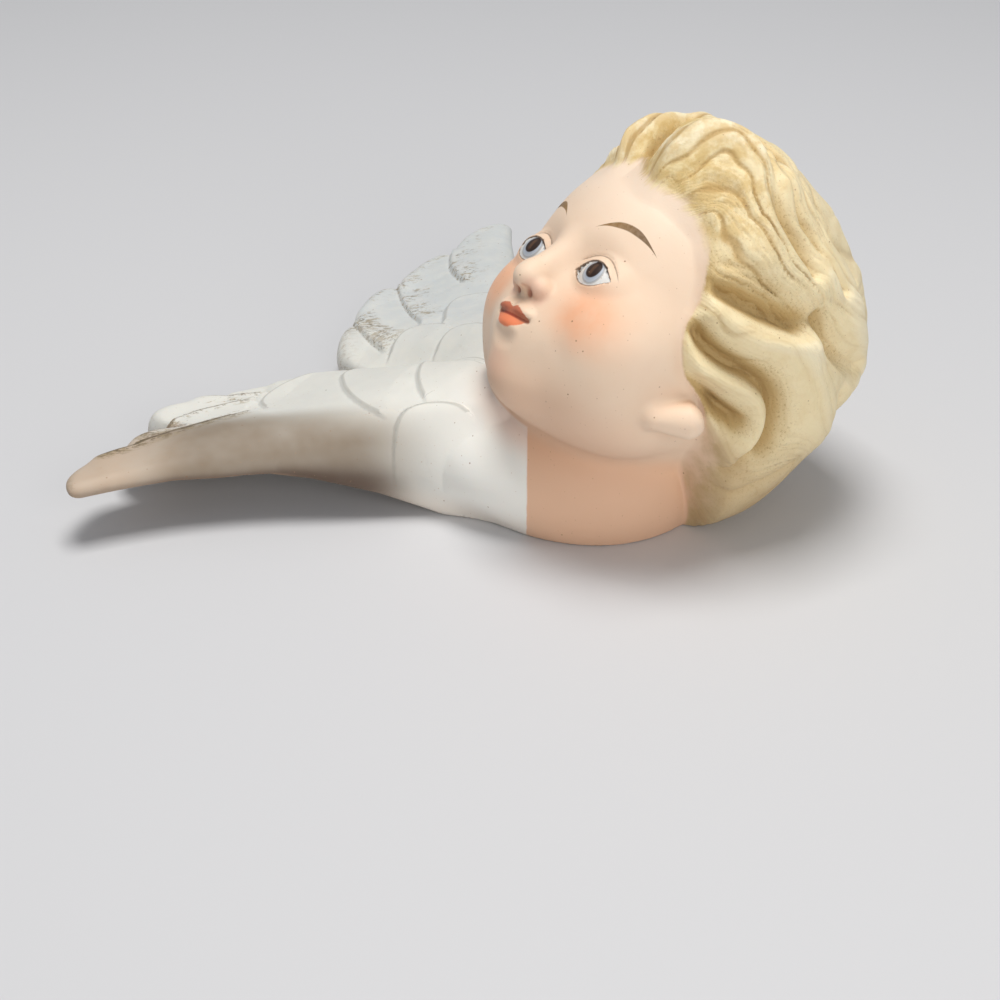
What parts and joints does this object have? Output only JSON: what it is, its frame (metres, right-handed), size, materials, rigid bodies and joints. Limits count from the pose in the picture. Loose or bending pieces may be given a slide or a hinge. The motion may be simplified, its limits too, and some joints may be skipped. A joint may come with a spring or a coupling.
{
  "type": "cherub wall plaque",
  "caption": "Moulded bisque wall plaque of an infant cherub's head resting over a pair of swept-out wings, with a flat back that goes against the wall.",
  "frame": {"origin": "centre of the flat back pad, on the face that touches the wall", "axes": "+Z out of the wall, -Z into it, +Y up the wall when the plaque hangs, -X towards the wing tips. The two wings mirror each other about the plane y = 0. The row lies on its flat back, as in the picture; turned 90 degrees about X it hangs."},
  "size_m": [0.1507, 0.168, 0.0901],
  "materials": {
    "painted_bisque": "matt unglazed porcelain with hand-painted flesh, hair and features, and worn gilt on the feather edges"
  },
  "bodies": {
    "root": {"cherub_plaque": "painted_bisque"}
  },
  "joints": []
}
